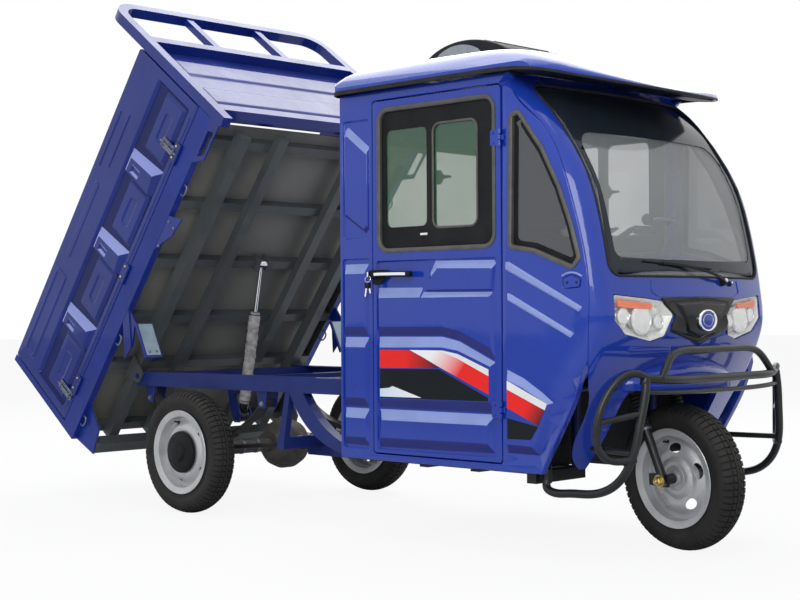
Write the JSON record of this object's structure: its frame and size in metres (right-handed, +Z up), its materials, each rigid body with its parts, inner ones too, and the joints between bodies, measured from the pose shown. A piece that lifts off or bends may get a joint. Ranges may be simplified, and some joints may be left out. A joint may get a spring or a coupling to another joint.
{
  "type": "enclosed cargo motor tricycle",
  "caption": "Enclosed three-wheel cargo vehicle with a closed cab, one steered front wheel and a tipping load bed with drop sides, a rack and a lifting ram.",
  "frame": {"origin": "on the ground at the middle of the vehicle's box, with the bed raised and the fork turned as stored", "axes": "+X forward to the front wheel, +Y to the vehicle's left, +Z up"},
  "size_m": [3.534, 1.2614, 2.1926],
  "materials": {
    "black_plastic": "grained black plastic",
    "black_steel": "black powder coat",
    "blue_paint": "gloss royal blue paint",
    "bright_rod": "polished rod",
    "cab_trim": "grey painted inner panel",
    "cast_iron": "raw casting",
    "glass": "clear automotive glass",
    "lamp_lens": "clear lamp lens over a bright reflector",
    "seat_cover": "black leathercloth",
    "sleeve_cloth": "dusty woven sleeve",
    "tyre_rubber": "matt black rubber",
    "underside_paint": "dark grey-olive satin paint",
    "wheel_silver": "silver painted pressed steel"
  },
  "bodies": {
    "vehicle": {"cab_floor": "cab_trim", "cab_rear_wall": "blue_paint", "cab_side_left": "blue_paint", "cab_side_right": "blue_paint", "chassis_frame": "blue_paint", "dashboard": "black_plastic", "engine": "cast_iron", "firewall": "black_plastic", "front_bumper": "black_steel", "front_shell": "blue_paint", "grille": "black_plastic", "headlamps": "lamp_lens", "leaf_springs": "black_steel", "nose_fender": "blue_paint", "prop_shaft": "black_steel", "rear_axle": "cast_iron", "roof": "blue_paint", "roof_hatch": "black_plastic", "seat": "seat_cover", "seat_box": "cab_trim", "steering_head": "black_steel", "windows": "glass"},
    "front_fork": {"fork": "black_steel", "handlebar": "black_steel"},
    "front_wheel": {"front_tyre": "tyre_rubber", "front_rim": "wheel_silver"},
    "rear_wheel_left": {"rear_tyre_left": "tyre_rubber", "rear_rim_left": "wheel_silver"},
    "rear_wheel_right": {"rear_tyre_right": "tyre_rubber", "rear_rim_right": "wheel_silver"},
    "cab_door_left": {"door_left": "blue_paint", "door_glass_left": "glass", "door_handle_left": "black_plastic"},
    "cab_door_right": {"door_right": "blue_paint", "door_glass_right": "glass", "door_handle_right": "black_plastic"},
    "load_bed": {"bed_floor": "underside_paint", "bed_frame": "underside_paint", "wheel_brackets": "blue_paint", "headboard": "blue_paint"},
    "side_gate_left": {"gate_left": "blue_paint"},
    "side_gate_right": {"gate_right": "blue_paint"},
    "rear_gate": {"tailgate": "blue_paint"},
    "ram_cylinder": {"ram_barrel": "black_steel", "ram_sleeve": "sleeve_cloth"},
    "ram_piston": {"ram_rod": "bright_rod"}
  },
  "joints": [
    {"name": "bed_tip", "type": "hinge", "parent": "vehicle", "child": "load_bed", "pos_m": [-0.98506, 0, 0.557], "axis": [0, 1, 0], "range_deg": [0, 53.4]},
    {"name": "ram_pivot", "type": "hinge", "parent": "vehicle", "child": "ram_cylinder", "pos_m": [-0.85206, 0, 0.36], "axis": [0, 1, 0], "range_deg": [0, 44.96]},
    {"name": "ram_slide", "type": "slide", "parent": "ram_cylinder", "child": "ram_piston", "axis": [0.1919, 0, 0.9814], "range_m": [-0.19851, 0]},
    {"name": "side_gate_left_hinge", "type": "hinge", "parent": "load_bed", "child": "side_gate_left", "pos_m": [-1.35132, 0.624, 0.35567], "axis": [-0.5962, 0, -0.8028], "range_deg": [0, 150]},
    {"name": "side_gate_right_hinge", "type": "hinge", "parent": "load_bed", "child": "side_gate_right", "pos_m": [-1.35132, -0.624, 0.35567], "axis": [0.5962, 0, 0.8028], "range_deg": [0, 150]},
    {"name": "rear_gate_hinge", "type": "hinge", "parent": "load_bed", "child": "rear_gate", "pos_m": [-1.73635, 0, 0.61546], "axis": [0, 1, 0], "range_deg": [0, 80]},
    {"name": "door_left_hinge", "type": "hinge", "parent": "vehicle", "child": "cab_door_left", "pos_m": [1.14094, 0.535, 0.96], "axis": [0, 0, -1], "range_deg": [0, 70]},
    {"name": "door_right_hinge", "type": "hinge", "parent": "vehicle", "child": "cab_door_right", "pos_m": [1.14094, -0.535, 0.96], "axis": [0, 0, 1], "range_deg": [0, 70]},
    {"name": "steering", "type": "hinge", "parent": "vehicle", "child": "front_fork", "pos_m": [1.47321, 0, 0.23814], "axis": [-0.3746, 0, 0.9272], "range_deg": [-30, 50]},
    {"name": "front_wheel_spin", "type": "hinge", "parent": "front_fork", "child": "front_wheel", "pos_m": [1.5143, -0.00781, 0.25474], "axis": [0.161, 0.9848, 0.065], "continuous": true},
    {"name": "rear_wheel_left_spin", "type": "hinge", "parent": "vehicle", "child": "rear_wheel_left", "pos_m": [-0.56507, 0.53, 0.255], "axis": [0, 1, 0], "continuous": true},
    {"name": "rear_wheel_right_spin", "type": "hinge", "parent": "vehicle", "child": "rear_wheel_right", "pos_m": [-0.56507, -0.53, 0.255], "axis": [0, 1, 0], "continuous": true}
  ],
  "couplings": [
    {"joint": "ram_pivot", "follows": "bed_tip", "ratio": 0.83266},
    {"joint": "ram_slide", "follows": "bed_tip", "m_per_rad": -0.21084}
  ]
}
